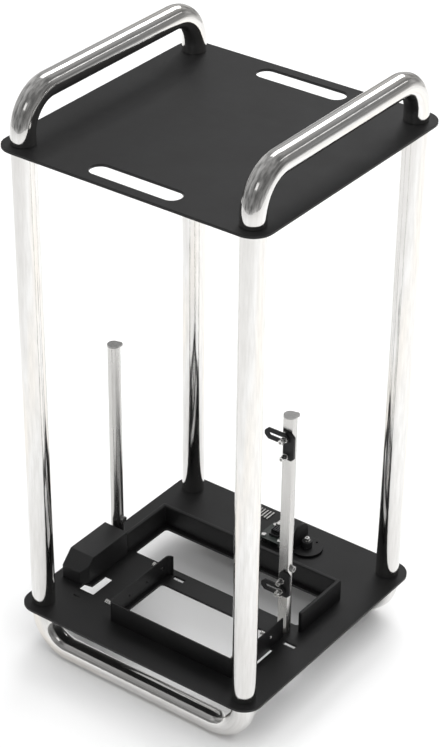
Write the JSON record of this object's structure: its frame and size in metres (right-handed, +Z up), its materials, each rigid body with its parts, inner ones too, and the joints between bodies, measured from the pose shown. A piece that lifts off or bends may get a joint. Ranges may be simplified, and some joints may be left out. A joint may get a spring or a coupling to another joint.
{
  "type": "filament printer chassis",
  "caption": "Open chassis of a desktop filament printer: square plates on polished tube legs with bent handles and foot rails, guide posts with swivelling stops.",
  "frame": {"origin": "centre of the footprint on the surface that the foot rails stand on", "axes": "+X to the right along the foot rails, +Y to the back along the carrying handles, +Z up"},
  "size_m": [0.31, 0.31, 0.6654],
  "materials": {
    "polished_tube": "mirror-polished tube",
    "satin_black_sheet": "satin black powder coat",
    "black_moulding": "fine matt moulded plastic",
    "drawn_bar": "satin drawn bar",
    "turned_cap": "turned and lightly brushed",
    "screw_steel": "bright zinc-plated steel",
    "circuit_board": "dark solder mask",
    "black_chip": "moulded component body",
    "finned_metal": "anodised fins",
    "socket_plastic": "moulded socket"
  },
  "bodies": {
    "chassis": {"bay_guard": "satin_black_sheet", "board_screws": "screw_steel", "board_sockets": "socket_plastic", "board_standoffs": "screw_steel", "bottom_deck": "satin_black_sheet", "control_board": "circuit_board", "cooling_fins": "drawn_bar", "data_port": "screw_steel", "driver_module": "black_chip", "foot_rail_back": "polished_tube", "foot_rail_front": "polished_tube", "handle_left": "polished_tube", "handle_right": "polished_tube", "heat_sink": "finned_metal", "joint_studs": "screw_steel", "leg_back_left": "polished_tube", "leg_back_right": "polished_tube", "leg_front_left": "polished_tube", "leg_front_right": "polished_tube", "lower_bracket": "satin_black_sheet", "lower_clamp_nut": "screw_steel", "lower_clamp_screw": "screw_steel", "lower_clamp_washer": "screw_steel", "post_anchor_screws": "screw_steel", "post_cap_left": "turned_cap", "post_cap_right": "turned_cap", "post_left": "drawn_bar", "post_lock_left": "turned_cap", "post_lock_right": "turned_cap", "post_right": "drawn_bar", "supply_cover": "black_moulding", "supply_module": "black_chip", "terminal_strip": "socket_plastic", "top_shelf": "satin_black_sheet", "tray_frame": "satin_black_sheet", "tray_screws": "screw_steel", "tray_spacers": "screw_steel", "tube_plugs": "screw_steel", "turntable_hub_screw": "screw_steel", "turntable_hub_washer": "screw_steel", "turntable_nut": "screw_steel", "turntable_pin": "screw_steel", "upper_bracket": "satin_black_sheet", "upper_clamp_nut": "screw_steel", "upper_clamp_screw": "screw_steel", "upper_clamp_washer": "screw_steel"},
    "upper_pivot": {"upper_pivot_screw": "screw_steel", "upper_pivot_nut": "screw_steel", "upper_pivot_washer": "screw_steel"},
    "upper_finger": {"upper_arm": "satin_black_sheet"},
    "lower_pivot": {"lower_pivot_screw": "screw_steel", "lower_pivot_nut": "screw_steel", "lower_pivot_washer": "screw_steel"},
    "lower_finger": {"lower_arm": "satin_black_sheet"},
    "turntable": {"turntable": "satin_black_sheet", "turntable_ear": "satin_black_sheet", "turntable_hub": "black_moulding"}
  },
  "joints": [
    {"name": "upper_arm_swivel", "type": "hinge", "parent": "chassis", "child": "upper_pivot", "pos_m": [0.103, -0.02845, 0.3105], "axis": [0, 1, 0], "range_deg": [-45, 45]},
    {"name": "upper_arm_slide", "type": "slide", "parent": "upper_pivot", "child": "upper_finger", "axis": [1, 0, 0], "range_m": [0, 0.0165]},
    {"name": "lower_arm_swivel", "type": "hinge", "parent": "chassis", "child": "lower_pivot", "pos_m": [0.103, -0.02845, 0.1211], "axis": [0, 1, 0], "range_deg": [-30, 30]},
    {"name": "lower_arm_slide", "type": "slide", "parent": "lower_pivot", "child": "lower_finger", "axis": [1, 0, 0], "range_m": [0, 0.0165]},
    {"name": "turntable_turn", "type": "hinge", "parent": "chassis", "child": "turntable", "pos_m": [0.039, 0.115, 0.0627], "axis": [0, 0, 1], "continuous": true}
  ]
}
